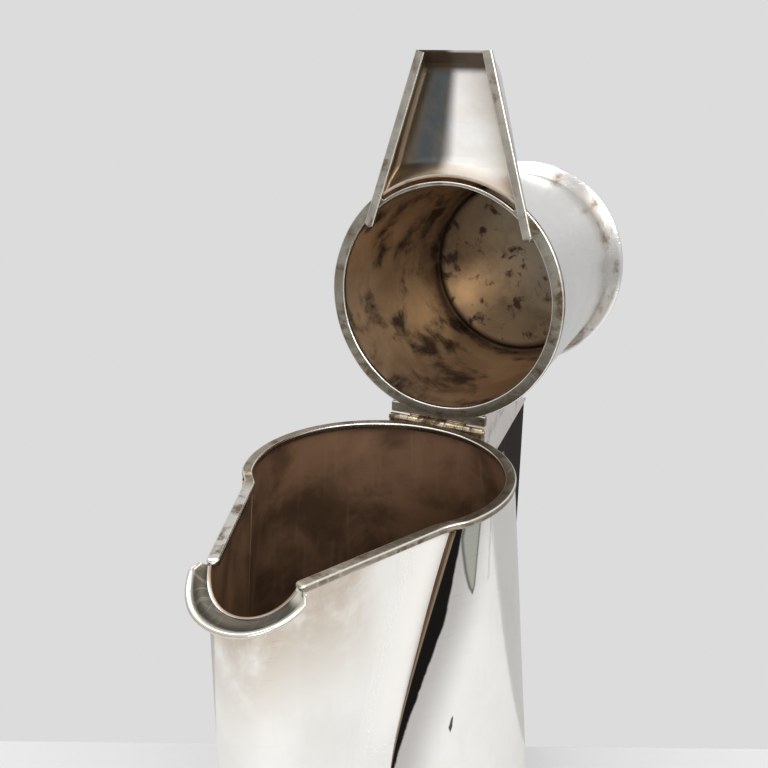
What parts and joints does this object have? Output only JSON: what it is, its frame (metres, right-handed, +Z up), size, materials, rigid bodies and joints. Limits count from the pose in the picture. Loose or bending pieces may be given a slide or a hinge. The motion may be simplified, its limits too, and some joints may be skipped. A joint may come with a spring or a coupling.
{
  "type": "coffee pot",
  "caption": "Tapered metal coffee pot with a full-height wedge spout, a tall hinged lid with its own spout cover, and a dark wooden side handle.",
  "frame": {"origin": "on the axis of the tapered body, in the plane the foot rests on", "axes": "+Z up along the body axis, -X towards the spout, +X towards the handle, Y across"},
  "size_m": [0.2057, 0.1078, 0.2664],
  "materials": {
    "body_cone": "polished silver, lightly tarnished",
    "spout_sheet": "polished silver, lightly tarnished",
    "silver_sheet": "polished silver, lightly tarnished",
    "silver_wire": "polished silver, lightly tarnished",
    "hinge_silver": "worn and tarnished silver",
    "bracket_silver": "polished silver, lightly tarnished",
    "ebony": "dark polished wood",
    "lid_wall": "polished silver, lightly tarnished",
    "lid_collar": "polished silver, lightly tarnished",
    "lid_inner_disc": "polished silver, lightly tarnished"
  },
  "bodies": {
    "pot": {"body_cone": "body_cone", "spout_sheet": "spout_sheet", "floor_plate": "silver_sheet", "foot_wire": "silver_wire", "mouth_rim": "silver_wire", "rim_strip_left": "silver_wire", "rim_strip_right": "silver_wire", "pouring_lip": "silver_wire", "hinge_bearer": "hinge_silver", "body_knuckle_left": "hinge_silver", "body_knuckle_centre": "hinge_silver", "body_knuckle_right": "hinge_silver", "hinge_pin": "hinge_silver", "upper_bracket": "bracket_silver", "handle_grip": "ebony", "grip_pins": "hinge_silver", "lower_bracket": "bracket_silver"},
    "lid": {"lid_wall": "lid_wall", "lid_base_ring": "silver_wire", "lid_hinge_tab": "silver_wire", "lid_knuckle_left": "hinge_silver", "lid_knuckle_right": "hinge_silver", "lid_collar": "lid_collar", "lid_top_plate": "silver_sheet", "lid_inner_disc": "lid_inner_disc", "cover_roof": "silver_sheet", "cover_side_left": "silver_sheet", "cover_side_right": "silver_sheet", "cover_end_wall": "silver_sheet", "cover_strip_left": "silver_wire", "cover_strip_right": "silver_wire"}
  },
  "joints": [
    {"name": "lid_hinge", "type": "hinge", "parent": "pot", "child": "lid", "pos_m": [0.0416, 0, 0.1496], "axis": [0, 1, 0], "range_deg": [-92, 0]}
  ]
}
